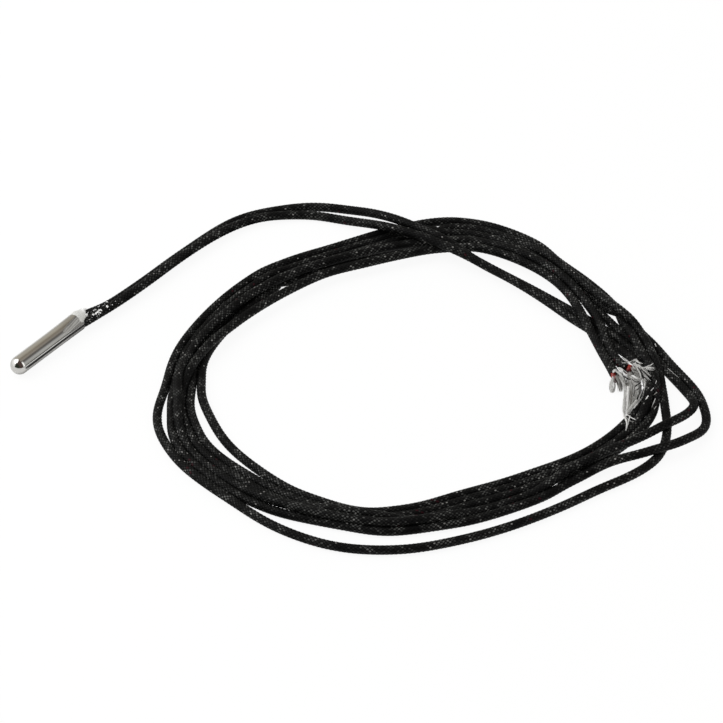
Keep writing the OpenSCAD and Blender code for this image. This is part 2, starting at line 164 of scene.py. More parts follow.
def smooth_line(points, step):
    """An even line on a smooth curve through the points."""
    p = np.asarray(points, float)
    p = np.vstack([2 * p[0] - p[1], p, 2 * p[-1] - p[-2]])
    gaps = np.sqrt(np.linalg.norm(np.diff(p, axis=0), axis=1))
    stretches = []
    for i in range(1, len(p) - 2):
        before, here, after = gaps[i - 1], gaps[i], gaps[i + 1]
        slope = (p[i + 1] - p[i]) / here
        out = (slope + (p[i] - p[i - 1]) / before - (p[i + 1] - p[i - 1]) / (before + here)) * here
        into = (slope + (p[i + 2] - p[i + 1]) / after - (p[i + 2] - p[i]) / (here + after)) * here
        t = np.linspace(0, 1, CURVE_PARTS, endpoint=False)[:, None]
        stretches.append(
            (2 * t**3 - 3 * t**2 + 1) * p[i] + (t**3 - 2 * t**2 + t) * out
            + (3 * t**2 - 2 * t**3) * p[i + 1] + (t**3 - t**2) * into
        )
    return spaced(np.vstack([*stretches, p[-2:-1]]), step)


# How the leads settle: the pull back to their places, the share of it that acts up and down, the
# weight, how stiff they are, the share of an overlap that a push takes away, and the pushes a round
HOME_PULL = 0.05
UPWARD_SHARE = 0.3
WEIGHT = 0.01
STIFFNESS = 0.1
PUSH_SHARE = 0.9
PUSHES = 3
# Points this near each other are looked at for overlaps, but not a lead's own nearest ones, and
# they push where they lie side by side, this share of a step ahead or less
NEAR = 3
ABREAST = 0.6
OWN_POINTS = 6
SEARCH_EVERY = 15


def laid_down(lines, still, rounds):
    """The leads let down on the table: they keep to their places, lie a lead apart and stay limber."""
    x = np.vstack(lines)
    home = x.copy()
    ends = np.cumsum([0] + [len(line) for line in lines])
    first, last = ends[:-1], ends[1:] - 1
    lead = np.repeat(np.arange(len(lines)), [len(line) for line in lines])
    order = np.arange(len(x))
    free = np.concatenate([np.arange(len(line)) >= still for line in lines])
    for count in range(rounds):
        if count % SEARCH_EVERY == 0:
            apart = ((x[None] - x[:, None]) ** 2).sum(2)
            own = (lead[:, None] == lead[None]) & (abs(order[:, None] - order[None]) < OWN_POINTS)
            i, j = np.nonzero((apart < NEAR**2) & ~own)
        t = np.empty_like(x)
        t[1:-1] = x[2:] - x[:-2]
        t[first], t[last] = x[first + 1] - x[first], x[last] - x[last - 1]
        t /= np.linalg.norm(t, axis=1)[:, None]
        pull = HOME_PULL * (home - x)
        pull[:, 2] = UPWARD_SHARE * pull[:, 2] - WEIGHT
        curl = np.zeros_like(x)
        curl[1:-1] = x[:-2] + x[2:] - 2 * x[1:-1]
        curl[first], curl[last] = 0, 0
        stiff = np.zeros_like(x)
        stiff[1:-1] = curl[:-2] + curl[2:] - 2 * curl[1:-1]
        for k in (first, first + 1, last - 1, last):
            stiff[k] = 0
        x[free] += (pull - STIFFNESS * stiff)[free]
        for _ in range(PUSHES):
            between = x[j] - x[i]
            ahead = (between * t[i]).sum(1)
            side = between - ahead[:, None] * t[i]
            distance = np.sqrt((side**2).sum(1))
            hit = (abs(ahead) < ABREAST * LINE_STEP) & (distance < LEAD_D) & (distance > 1e-4)
            a, b = i[hit], j[hit]
            push = (LEAD_D - distance[hit])[:, None] * side[hit] / distance[hit][:, None]
            total, touches = np.zeros_like(x), np.zeros(len(x))
            np.add.at(total, a, -np.where(free[b], 0.5, 1)[:, None] * push)
            np.add.at(total, b, np.where(free[a], 0.5, 1)[:, None] * push)
            np.add.at(touches, a, 1)
            np.add.at(touches, b, 1)
            x[free] += PUSH_SHARE * (total / np.maximum(touches / 2, 1)[:, None])[free]
            x[free, 2] = np.maximum(x[free, 2], LEAD_R)
    return [x[s:e + 1] for s, e in zip(first, last)]


def eased(line, times):
    """A line with its small kinks smoothed away, its two ends kept."""
    line = line.copy()
    for _ in range(times):
        line[1:-1] += 0.25 * (line[:-2] + line[2:] - 2 * line[1:-1])
    return line


lead_lines = [
    smooth_line(wound(TAIL_A, TURNS_A), LINE_STEP),
    smooth_line(wound(TAIL_B, TURNS_B), LINE_STEP),
]
lead_lines = laid_down(lead_lines, still=4, rounds=20)
lead_lines = [eased(line, times=4) for line in lead_lines]


def turning_frame(line):
    """Two directions across a line at each of its points, which don't twist along it."""
    t = np.gradient(line, axis=0)
    t /= np.linalg.norm(t, axis=1)[:, None]
    side = np.empty_like(t)
    side[0] = np.cross([0, 0, 1], t[0])
    for k in range(1, len(t)):
        side[k] = side[k - 1] - side[k - 1] @ t[k] * t[k]
        side[k] /= np.linalg.norm(side[k])
    side[0] /= np.linalg.norm(side[0])
    return side, np.cross(t, side)


def mesh_object(name, points, faces, edges=(), smooth=True):
    """A mesh of points in metres, faces and loose edges, linked to the scene."""
    data = bpy.data.meshes.new(name)
    data.from_pydata(np.asarray(points).tolist(), edges, faces)
    data.polygons.foreach_set("use_smooth", [smooth] * len(data.polygons))
    data.update()
    made = bpy.data.objects.new(name, data)
    bpy.context.scene.collection.objects.link(made)
    return made


def shell_faces(rings, sides):
    """The faces of a closed shell of rings, whose two end points come after the rings' own."""
    ring = [(k, (k + 1) % sides) for k in range(sides)]
    faces = [
        [i * sides + k, i * sides + after, (i + 1) * sides + after, (i + 1) * sides + k]
        for i in range(rings - 1) for k, after in ring
    ]
    start, end = rings * sides, rings * sides + 1
    faces += [[start, after, k] for k, after in ring]
    return faces + [[end, (rings - 1) * sides + k, (rings - 1) * sides + after] for k, after in ring]


# The braid: eight yarns wind each way round the lead, each over one and under the next, and
# stand a little proud where they pass over. It opens a little over its last 5 mm, where it is cut.
BRAID_CELLS = 8
BRAID_REPEAT = 0.7
BRAID_SIDES = 28
BRAID_STEP = 0.23
BRAID_RELIEF = 0.11
BRAID_MIDDLE = 0.45
YARN_SUNK = 0.45
YARN_ARCHED = 0.55
OPENED = 0.12
OPENED_LENGTH = 5
# The braid's near black, and a little lighter colour for its yarns' crowns: painted shade between the yarns,
# painted light on their crowns
BRAID_DARK = (0.0016, 0.0016, 0.0017)
BRAID_LIT_CROWNS = (0.009, 0.009, 0.0088)
# Grey for the painted highlights on the yarns' crowns
PAINTED_GLINT = (0.22, 0.222, 0.21)
REDDISH = (0.03, 0.005, 0.008)
# Pale for broken white filaments, which also stand as the brightest painted highlights on the yarns' crowns
WORN_AND_GLINT = (0.31, 0.30, 0.285)


def braid_height(u, v):
    """0 at the edge of a yarn to 1 at its crown, where u counts cells round the lead and v along it."""
    p, q = u + v, u - v
    over = (np.floor(p) + np.floor(q)) % 2 < 1
    across = np.where(over, p % 1, q % 1) * 2 - 1
    along = np.where(over, q % 1, p % 1) * 2 - 1
    return (1 - across**2) * (YARN_SUNK + YARN_ARCHED * (1 - along**2))


def braided_lead(name, line):
    """The braid's outside as a closed tube with its relief, and a UV map that counts braid cells."""
    line = smooth_line(line, BRAID_STEP)
    side, up = turning_frame(line)
    rings, sides = len(line), BRAID_SIDES
    turn = np.arange(sides) / sides
    along = np.arange(rings) * BRAID_STEP
    u = turn[None] * BRAID_CELLS
    v = (along / BRAID_REPEAT)[:, None]
    to_end = (along - (rings * BRAID_STEP - OPENED_LENGTH)) / OPENED_LENGTH
    opened = 1 + OPENED * np.clip(to_end, 0, 1)[:, None]
    radius = (LEAD_R - BRAID_MIDDLE * BRAID_RELIEF + BRAID_RELIEF * braid_height(u, v)) * opened
    c, s = np.cos(2 * np.pi * turn), np.sin(2 * np.pi * turn)
    ring = c[None, :, None] * side[:, None] + s[None, :, None] * up[:, None]
    points = (line[:, None] + radius[..., None] * ring).reshape(-1, 3)
    points = np.vstack([points, line[:1], line[-1:]]) * MM
    lead = mesh_object(name, points, shell_faces(rings, sides))
    k = np.arange(sides)[None]
    corner_u = np.stack([k, k + 1, k + 1, k], axis=2) / sides * BRAID_CELLS
    row = np.arange(rings - 1)[:, None, None] * BRAID_STEP / BRAID_REPEAT
    next_row = row + BRAID_STEP / BRAID_REPEAT
    corner_v = np.concatenate([row, row, next_row, next_row], axis=2)
    corners = [np.broadcast_to(corner, (rings - 1, sides, 4)) for corner in (corner_u, corner_v)]
    uv = np.vstack([np.stack(corners, axis=3).reshape(-1, 2), np.zeros((6 * sides, 2))])
    lead.data.uv_layers.new(name="braid").data.foreach_set("uv", uv.astype(np.float32).ravel())
    return lead


lead_a = braided_lead("lead_a", lead_lines[0])
lead_b = braided_lead("lead_b", lead_lines[1])


class Wire:
    """One output in a node tree. Sums on it add Math nodes, and node() adds any other kind."""

    def __init__(self, tree, socket=None):
        self.tree, self.socket = tree, socket

    def node(self, kind, settings=None, values=None, out=0):
        """Adds a node, makes its settings, sets or links its inputs, and gives one of its outputs."""
        made = self.tree.nodes.new(kind)
        for key, value in (settings or {}).items():
            setattr(made, key, value)
        for key, value in (values or {}).items():
            if isinstance(value, Wire):
                self.tree.links.new(value.socket, made.inputs[key])
            else:
                made.inputs[key].default_value = value
        return Wire(self.tree, made.outputs[out]) if len(made.outputs) else made

    def other(self, name):
        """Another output of the same node."""
        return Wire(self.tree, self.socket.node.outputs[name])

    def then(self, step, values=None, **settings):
        """This geometry after one more step, given the end of its node's name."""
        return self.node("GeometryNode" + step, settings, {0: self, **(values or {})})

    def maths(self, operation, *values):
        return self.node("ShaderNodeMath", {"operation": operation}, dict(enumerate(values)))

    def __add__(self, other):
        return self.maths("ADD", self, other)

    __radd__ = __add__

    def __sub__(self, other):
        return self.maths("SUBTRACT", self, other)

    def __rsub__(self, other):
        return self.maths("SUBTRACT", other, self)

    def __mul__(self, other):
        return self.maths("MULTIPLY", self, other)

    __rmul__ = __mul__

    def __pow__(self, other):
        return self.maths("POWER", self, other)

    def __mod__(self, other):
        return self.maths("FLOORED_MODULO", self, other)

    def __gt__(self, other):
        return self.maths("GREATER_THAN", self, other)

    def __lt__(self, other):
        return self.maths("LESS_THAN", self, other)

    def __floor__(self):
        return self.maths("FLOOR", self)

    def between(self, low, high, to_low=0.0, to_high=1.0):
        """Maps one range on to another, and clamps it."""
        return self.node("ShaderNodeMapRange", {"clamp": True}, {
            "Value": self, "From Min": low, "From Max": high, "To Min": to_low, "To Max": to_high,
        })

    def colours(self, first, second):
        """A mix of two colours, with this as the share of the second."""
        first, second = ((*c, 1) if isinstance(c, tuple) else c for c in (first, second))
        return self.node("ShaderNodeMix", {"data_type": "RGBA"}, {0: self, 6: first, 7: second}, out=2)

    def bands(self, *stops):
        """A colour for each place from 0 to 1."""
        made = self.node("ShaderNodeValToRGB", None, {0: self})
        ramp = made.socket.node.color_ramp.elements
        while len(ramp) < len(stops):
            ramp.new(0.5)
        for stop, (place, colour) in zip(ramp, stops):
            stop.position, stop.color = place, (*colour, 1)
        return made

    def place(self):
        """Object coordinates."""
        return self.node("ShaderNodeTexCoord", out="Object")

    def split(self):
        """A vector's X, with its Y and Z as other outputs."""
        return self.node("ShaderNodeSeparateXYZ", None, {0: self})

    def joined(self, x, y, z=0.0):
        return self.node("ShaderNodeCombineXYZ", None, {0: x, 1: y, 2: z})

    def stretched(self, scale):
        return self.node("ShaderNodeMapping", None, {"Vector": self, "Scale": scale})

    def vector(self, operation, *values):
        return self.node("ShaderNodeVectorMath", {"operation": operation}, dict(enumerate((self, *values))))

    def scaled(self, factor):
        """This vector times a number."""
        return self.node("ShaderNodeVectorMath", {"operation": "SCALE"}, {0: self, "Scale": factor})

    def noise(self, scale, detail=2.0, roughness=0.5):
        """Noise from 0 to 1 at this vector."""
        return self.node("ShaderNodeTexNoise", None, {
            "Vector": self, "Scale": scale, "Detail": detail, "Roughness": roughness,
        })

    def bump(self, depth, strength=1.0):
        """A surface normal with this as the height."""
        return self.node("ShaderNodeBump", None, {"Height": self, "Distance": depth, "Strength": strength})


def material(name, preview):
    """A new material and a wire in its tree."""
    made = bpy.data.materials.new(name)
    made.use_nodes = True
    made.diffuse_color = (*preview, 1)
    return made, Wire(made.node_tree)


def surface(made, **values):
    """Sets or links the inputs of a material's Principled shader."""
    shader = made.node_tree.nodes["Principled BSDF"]
    for key, value in values.items():
        target = shader.inputs[key.replace("_", " ").title().replace("Ior", "IOR")]
        if isinstance(value, Wire):
            made.node_tree.links.new(value.socket, target)
        else:
            target.default_value = (*value, 1) if isinstance(value, tuple) else value


braid, tree = material("black_glass_braid", (0.012, 0.012, 0.013))
u = tree.node("ShaderNodeUVMap", {"uv_map": "braid"}).split()
v = u.other("Y")
p, q = u + v, u - v
over = (math.floor(p) + math.floor(q)) % 2 < 0.5
across = over * (p % 1) + (1 - over) * (q % 1)
along = over * (q % 1) + (1 - over) * (p % 1)
crown = 1 - (2 * across - 1) ** 2
arch = 1 - (2 * along - 1) ** 2
height = crown * (YARN_SUNK + YARN_ARCHED * arch)
yarn_number = tree.joined(math.floor(p), math.floor(q))
chance = tree.node("ShaderNodeTexWhiteNoise", {"noise_dimensions": "2D"}, {"Vector": yarn_number})
hairs = tree.joined(across * 7, along * 1.3, chance * 50).noise(1.0, 2.0)
patches = tree.place().noise(330, 3.0, 0.6)
spot = tree.place().split()
# Painted light: near the capsule the braid's colour is made lighter and its painted glints brighter
painted_light_by_capsule = spot.between(20 * MM, 42 * MM, 1.0, 0.0) * spot.other("Y").between(-12 * MM, -7 * MM)
# The glints are painted highlights: grey base colour on the crowns of some yarns, in patches, where a clear
# coat is also laid
glint = (crown * arch).between(0.25, 0.8) * chance ** 2
glint = glint * patches.between(0.40, 0.60) * hairs.between(0.38, 0.58)
glint = glint * (1 + 0.5 * painted_light_by_capsule)
# Pale specks on a few yarns' crowns: broken white filaments, and painted highlights too
worn_and_glint = (chance > 0.975) * (crown * arch).between(0.5, 0.9) * hairs.between(0.4, 0.5)
reddish = (chance < 0.003) * (spot.other("Y") < -3 * MM) * crown.between(0.2, 0.7)
# Painted shade and light: the braid's colour is darker between the yarns' crowns and lighter on them, in
# patches
yarn = ((height * patches).between(0.1, 0.6) * (1 + painted_light_by_capsule)).colours(BRAID_DARK, BRAID_LIT_CROWNS)
yarn = glint.colours(yarn, PAINTED_GLINT)
yarn = reddish.colours(yarn, REDDISH)
yarn = worn_and_glint.colours(yarn, WORN_AND_GLINT)
surface(
    braid, base_color=yarn, roughness=height.between(0, 1, 0.65, 0.45), specular_ior_level=0.1,
    coat_weight=glint * 0.5, coat_roughness=0.3, normal=(height * 0.8 + hairs * 0.3).bump(0.06 * MM, 0.9),
)
for lead in (lead_a, lead_b):
    lead.data.materials.append(braid)
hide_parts("lead_tail_a", "lead_coil", "lead_end_a")
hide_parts("lead_tail_b", "lead_coil", "lead_end_b")


# The cut ends: the braid is cut square, and inside it the red insulation of the core stands out
# with a few tinned strands in it, tinged by the insulation.
CORE_R = 0.43
STRAND_R = 0.085
STRANDS_ROUND = 6
STRAND_PITCH = 2.05 * STRAND_R
STRAND_IN = 0.15
STRAND_OUT = 0.5
STRAND_SPLAY = 1.3
STRAND_STRAY = 0.06
ROD_RINGS = ((0, 1), (0.9, 1), (0.97, 0.95), (1, 0.82))
# Each end's name, then where its core starts and where its tip is
CUTS = (("a", (52.5, -72.6, 2.2), (52.2, -73.3, 1.5)), ("b", (55.6, -73.7, 2.4), (54.8, -73.9, 1.8)))
rng = np.random.default_rng(7)


def square_to(heading):
    """Two directions at right angles to a heading, the first of them level."""
    side = np.cross([0, 0, 1], heading)
    side /= np.linalg.norm(side)
    return side, np.cross(heading, side)


def rod(name, start, end, radius, sides=24):
    """A closed round rod between two points in millimetres, its far edge eased."""
    side, up = square_to((end - start) / np.linalg.norm(end - start))
    turn = np.arange(sides) / sides * 2 * np.pi
    ring = np.cos(turn)[:, None] * side + np.sin(turn)[:, None] * up
    rings = [start + (end - start) * share + radius * wide * ring for share, wide in ROD_RINGS]
    return mesh_object(name, np.vstack([*rings, start, end]) * MM, shell_faces(len(rings), sides))


def joined_pieces(name, pieces):
    """Several pieces as one mesh."""
    points, faces = [], []
    for piece in pieces:
        base = len(points)
        points += [tuple(vertex.co) for vertex in piece.data.vertices]
        faces += [[base + k for k in polygon.vertices] for polygon in piece.data.polygons]
        bpy.data.objects.remove(piece)
    return mesh_object(name, points, faces)


insulation, tree = material("red_insulation", (0.35, 0.02, 0.015))
mottle = tree.place().noise(2600, 3.0).between(0.35, 0.65)
surface(insulation, base_color=mottle.colours((0.10, 0.006, 0.006), (0.42, 0.035, 0.02)), roughness=0.4)
stained, tree = material("stained_strands", (0.3, 0.2, 0.2))
stain = tree.place().noise(3000).between(0.35, 0.65).colours((0.10, 0.045, 0.05), (0.36, 0.24, 0.25))
surface(stained, base_color=stain, metallic=0.4, roughness=0.45)

for ending, start, tip in CUTS:
    start, tip = np.array(start), np.array(tip)
    heading = (tip - start) / np.linalg.norm(tip - start)
    core = rod(f"core_cut_{ending}", start, tip, CORE_R)
    core.data.materials.append(insulation)
    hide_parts(f"core_end_{ending}")
    side, up = square_to(heading)
    strands = []
    for k in range(STRANDS_ROUND + 1):
        a = k * math.tau / STRANDS_ROUND
        off = (0 if k == STRANDS_ROUND else STRAND_PITCH) * (math.cos(a) * side + math.sin(a) * up)
        away = STRAND_STRAY * rng.normal(size=3)
        strand_start = tip - STRAND_IN * heading + off
        strand_end = tip + STRAND_OUT * heading + off * STRAND_SPLAY + away
        strands.append(rod("strand", strand_start, strand_end, STRAND_R, sides=8))
    wires = joined_pieces(f"strands_{ending}", strands)
    wires.data.materials.append(stained)
    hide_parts(f"conductor_end_{ending}")
    for piece in (core, wires):
        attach(piece, "root")


# The frayed braid: where the braids were cut their glass yarns have come apart into white, grey
# and black hairs, which hang from the ends in locks and lie over the next turns of the coil.
HAIR_R = 0.021
HAIR_WAVE = 1.6
HAIR_SEED = 5
HAIR_CLEARANCE = 0.14
HAIR_POINTS = 16
HAIR_SHORTEST = 0.6
DARK_HAIRS = 0.08
LOCK_STEP = 0.25

# Each lock is a number of hairs, how far they spread at root and tip, their thickness, how light
# they are from 0 to about 1, and its line: pixels of the photograph, across and down, with the
# height above the table in millimetres, or none for a spot on the lead that shows there.
LOCKS = {
    "a": [
        (44, 0.2, 0.2, 1, 0.9, [
            (612.8, 377.8, 2), (611.2, 382.5, 1.3), (610.9, 388, 0.7), (612.3, 392, 0.3), (614.1, 388, 0.35),
            (614.4, 383, 0.9), (613.8, 379, 1.7),
        ]),
        (50, 0.22, 0.2, 1, 0.66, [
            (616, 376.5, 2), (618.2, 381.5, 1.4), (619.4, 387, 0.8), (619.6, 391.5, 0.4),
        ]),
        (50, 0.24, 0.2, 1, 0.58, [
            (618, 374.5, 2.2), (620.5, 380, 1.6), (621.8, 386, 0.9), (622.3, 391.3, 0.45),
        ]),
        (70, 0.34, 0.3, 1, 0.58, [(619, 373, 2.4), (623, 379, 1.9), (626, 386, 1.4), (626.5, 391, 1)]),
        (50, 0.22, 0.22, 1, 0.88, [
            (620, 376, 2.1), (624, 384, 1.6), (625.3, 392, 1.1), (624.2, 401, 0.7), (623.8, 410, 0.6),
            (624.8, 417, 1.2),
        ]),
        (14, 0.1, 0.16, 1.5, 0.95, [(612.8, 372.4), (615, 370.4), (617.3, 371.4)]),
        (22, 0.12, 0.2, 1.3, 0.92, [
            (618.5, 367.8), (621.5, 370.2, 2.9), (624.5, 373.4, 2.7), (626.5, 376.5, 2.4),
        ]),
        (16, 0.1, 0.16, 1.3, 0.8, [(616.5, 371.6), (620, 374.5, 2.7), (623, 379, 2.3), (624.5, 383, 2)]),
        (10, 0.08, 0.06, 1.4, 0.05, [(615.2, 379.3, 2.3), (617, 381.5, 2), (618, 384.6, 1.6)]),
        (10, 0.08, 0.06, 1.4, 0.1, [(624, 375.6, 2.9), (627, 378.4, 2.8), (630.8, 379.7, 2.7)]),
    ],
    "b": [
        (46, 0.16, 0.13, 1.2, 1.08, [
            (627.6, 387, 2.2), (627.8, 392, 1.8), (627.2, 400, 1.4), (627, 406, 1.3), (627, 412, 1.3),
        ]),
        (60, 0.36, 0.3, 1, 0.62, [
            (629, 374, 2.1), (630, 381, 1.7), (629.5, 390, 1.3), (628.4, 400, 1), (627.5, 409, 0.9),
            (626.8, 415, 1.2),
        ]),
        (70, 0.36, 0.32, 1, 0.78, [
            (632, 381, 1.9), (632.5, 388, 1.5), (631.5, 396, 1.2), (630.4, 404, 1), (628.8, 412, 1.2),
        ]),
        (70, 0.34, 0.3, 1, 0.82, [
            (634, 380, 2), (636.8, 388, 1.6), (635.6, 395, 1.3), (633, 402, 1.1), (629.6, 410, 1.2),
        ]),
        (46, 0.34, 0.3, 1, 0.74, [
            (631, 378, 2.1), (634.5, 384, 1.8), (637.5, 390, 1.5), (639.2, 396.5, 1.4),
        ]),
        (60, 0.32, 0.3, 1, 0.7, [(636.5, 380.5, 1.5), (639, 387, 1.2), (638.8, 393, 1), (636.2, 399.5, 0.9)]),
        (60, 0.3, 0.34, 1, 0.58, [(630, 369, 1.6), (632.4, 373.5, 1.5), (635, 379, 1.4), (636, 384, 1.3)]),
        (80, 0.22, 0.24, 1, 0.9, [
            (644.4, 379.5, 2.5), (646.2, 385, 2.4), (644.8, 391, 2.1), (640.6, 397.6, 1.8),
            (635.4, 403.6, 1.5), (631, 409, 1.3), (628.2, 413.5, 1.4),
        ]),
        (46, 0.2, 0.2, 0.9, 0.62, [
            (634.5, 363.5, 2.9), (637, 368.5, 2.7), (639.8, 374, 2.5), (641.2, 380, 2.3),
        ]),
        (46, 0.3, 0.26, 0.9, 0.6, [
            (632.5, 367.5, 2.6), (635.5, 372, 2.5), (638, 377, 2.3), (639.5, 382.5, 2.1),
        ]),
        (30, 0.14, 0.34, 1.5, 1.02, [(642.5, 368.2), (646.5, 368.6), (650, 369), (653, 369.4)]),
        (8, 0.08, 0.14, 1.7, 0.98, [(643.5, 368), (647.5, 366.4), (650.5, 364.9), (653, 363.2)]),
        (16, 0.12, 0.2, 1.5, 0.92, [(640.5, 367.2), (644.5, 370.6), (647.5, 373.4), (650.6, 375.8)]),
        (14, 0.12, 0.18, 1.5, 0.94, [(642, 372), (645, 375.4), (647.2, 377.6), (649.6, 379.8)]),
        (12, 0.1, 0.14, 1.4, 0.85, [(638, 364.4), (640.5, 366.6), (642.5, 370)]),
        (12, 0.1, 0.14, 1.6, 1.05, [(622.2, 357), (624.2, 358.8), (626.8, 361)]),
        (14, 0.1, 0.16, 1.5, 1, [(624.5, 360.6), (627.8, 361.8), (631.5, 361.8)]),
        (12, 0.1, 0.16, 1.5, 1, [(631.6, 362.6), (633.6, 360.6), (635.8, 360.2), (638, 362.2)]),
        (10, 0.08, 0.16, 1.5, 0.98, [(636, 361.2), (639, 362.8), (643, 364.4)]),
        (10, 0.08, 0.16, 1.4, 0.92, [(622.5, 362.9), (625.5, 362.9), (629, 363.6)]),
        (16, 0.14, 0.22, 1.3, 0.86, [(632.4, 364, 3), (636, 365.5, 3), (639, 369, 2.9), (641, 373.5, 2.8)]),
        # A painted highlight: a lock of the whitest hairs, where the fibres glint
        (20, 0.14, 0.12, 1.8, 1.2, [(632.6, 376.1, 3.2), (635.5, 377.8, 3.2), (638.9, 379.3, 3.1)]),
        (12, 0.07, 0.06, 1.5, 0.02, [(635, 386.5, 2.6), (638, 384.4, 2.8), (641.5, 382, 2.9)]),
        (12, 0.07, 0.06, 1.5, 0.02, [(636.8, 390, 2.6), (640, 387.4, 2.8), (642.6, 385.4, 2.8)]),
        (12, 0.06, 0.06, 1.4, 0.02, [(640.4, 398.2, 2.5), (642.2, 394, 2.7), (643.4, 388.6, 2.8)]),
        (16, 0.08, 0.06, 1.5, 0.02, [
            (638.2, 367.4, 3.3), (641.3, 372, 3.3), (643.4, 377, 3.2), (643.9, 383, 3.1),
        ]),
        (12, 0.08, 0.08, 1.5, 0.02, [(640.6, 363.6), (644.5, 365.8), (648, 365)]),
        (12, 0.08, 0.08, 1.4, 0.02, [(641, 369.4, 3.5), (645, 372.6, 3.5), (648, 376, 3.4)]),
        (10, 0.06, 0.05, 1.3, 0.04, [(633.5, 396, 2.2), (634.9, 391.5, 2.4), (634.7, 387, 2.5)]),
        (10, 0.06, 0.05, 1.3, 0.1, [(637.2, 399.5, 2.2), (638.9, 394.5, 2.4), (639.2, 390, 2.5)]),
        (10, 0.06, 0.05, 1.3, 0.08, [(632, 378.8, 2.9), (634.5, 381.4, 2.8), (638.5, 382.2, 2.8)]),
        (8, 0.05, 0.05, 1.2, 0.3, [(630.6, 404, 1.9), (631.2, 396, 2.1), (630.6, 389, 2.2)]),
        (12, 0.1, 0.08, 1.4, 1.05, [(633.8, 408, 1.8), (635.6, 405.6, 1.9), (637.6, 403.2, 2)]),
        (8, 0.05, 0.07, 1.6, 1, [(627, 414.6), (631, 417.4), (635.8, 419.7)]),
        (10, 0.08, 0.09, 1.4, 0.82, [(624.2, 415.8, 1.6), (626.5, 420.6), (627.2, 425.5), (626, 430.8)]),
        (8, 0.06, 0.08, 1.4, 0.88, [(629.8, 415.8), (628.6, 421), (627.4, 426)]),
        (6, 0.05, 0.08, 1.3, 0.85, [(625.5, 416.8), (629.5, 420.6), (633.6, 421.3)]),
        (4, 0.03, 0.03, 1.6, 0.95, [(656.6, 380.5), (655.3, 383.8)]),
        (4, 0.03, 0.05, 1.5, 0.85, [(653.5, 388), (650.6, 391)]),
        (4, 0.03, 0.04, 1.6, 0.9, [(657, 392.3), (653.8, 395.2)]),
        (4, 0.03, 0.04, 1.5, 0.85, [(648.3, 396), (645.2, 400)]),
        (4, 0.03, 0.04, 1.5, 0.9, [(655.3, 398.5), (653.4, 403.5), (651.4, 408)]),
        (3, 0.03, 0.04, 1.5, 0.85, [(656.2, 406.5), (654.3, 409.5)]),
        (3, 0.03, 0.04, 1.5, 0.85, [(655.2, 343.6), (656.3, 346.6)]),
        (3, 0.03, 0.04, 1.5, 0.85, [(667.6, 368), (673, 372.6), (679, 377.2)]),
    ],
}

# The photograph's middle in its own pixels, 723 each way, and its scale at the camera's aim
PICTURE_MIDDLE = 361.5
PIXELS_PER_MM = 6.3

# A spot on a lead is looked for from above the coil down, along the line of sight
SEARCH_TOP = 4.6
SEARCH_STEP = 0.02
SEARCH_MIDDLE = 1.5
SEARCH_REACH = 6
SPOT_STEP = 0.1
lead_spots = np.vstack([spaced(line, SPOT_STEP) for line in lead_lines])


def seen_at(across, down, height):
    """The place in millimetres that shows at a pixel of the photograph, given its height."""
    rise, run = math.sin(CAMERA_ELEVATION), math.cos(CAMERA_ELEVATION)
    far = CAMERA_DISTANCE / MM
    up = (PICTURE_MIDDLE - down) / PIXELS_PER_MM
    away = (up * (1 - height * rise / far) - height * run) / (rise - up * run / far)
    right = (across - PICTURE_MIDDLE) / PIXELS_PER_MM * (1 + (away * run - height * rise) / far)
    c, s = math.cos(CAMERA_HEADING), math.sin(CAMERA_HEADING)
    aim = CAMERA_AIM / MM
    return np.array([aim[0] + right * c + away * s, aim[1] - right * s + away * c, height])


def on_lead(across, down, clearance):
    """The place on the uppermost lead that shows at a pixel, this far off the braid."""
    middle = seen_at(across, down, SEARCH_MIDDLE)
    near = lead_spots[abs(lead_spots[:, :2] - middle[:2]).max(axis=1) < SEARCH_REACH]
    for height in np.arange(SEARCH_TOP, 0, -SEARCH_STEP):
        place = seen_at(across, down, height)
        if np.linalg.norm(near - place, axis=1).min() < LEAD_R + clearance:
            return place
    return middle


def tree_inputs(tree, *sockets):
    """Gives a geometry tree its way in, a named input for each size, and its way out."""
    tree.interface.new_socket("Geometry", in_out="INPUT", socket_type="NodeSocketGeometry")
    for name, kind, value in sockets:
        socket = tree.interface.new_socket(name, in_out="INPUT", socket_type="NodeSocket" + kind)
        socket.default_value = value
    tree.interface.new_socket("Geometry", in_out="OUTPUT", socket_type="NodeSocketGeometry")
    return Wire(tree).node("NodeGroupInput")


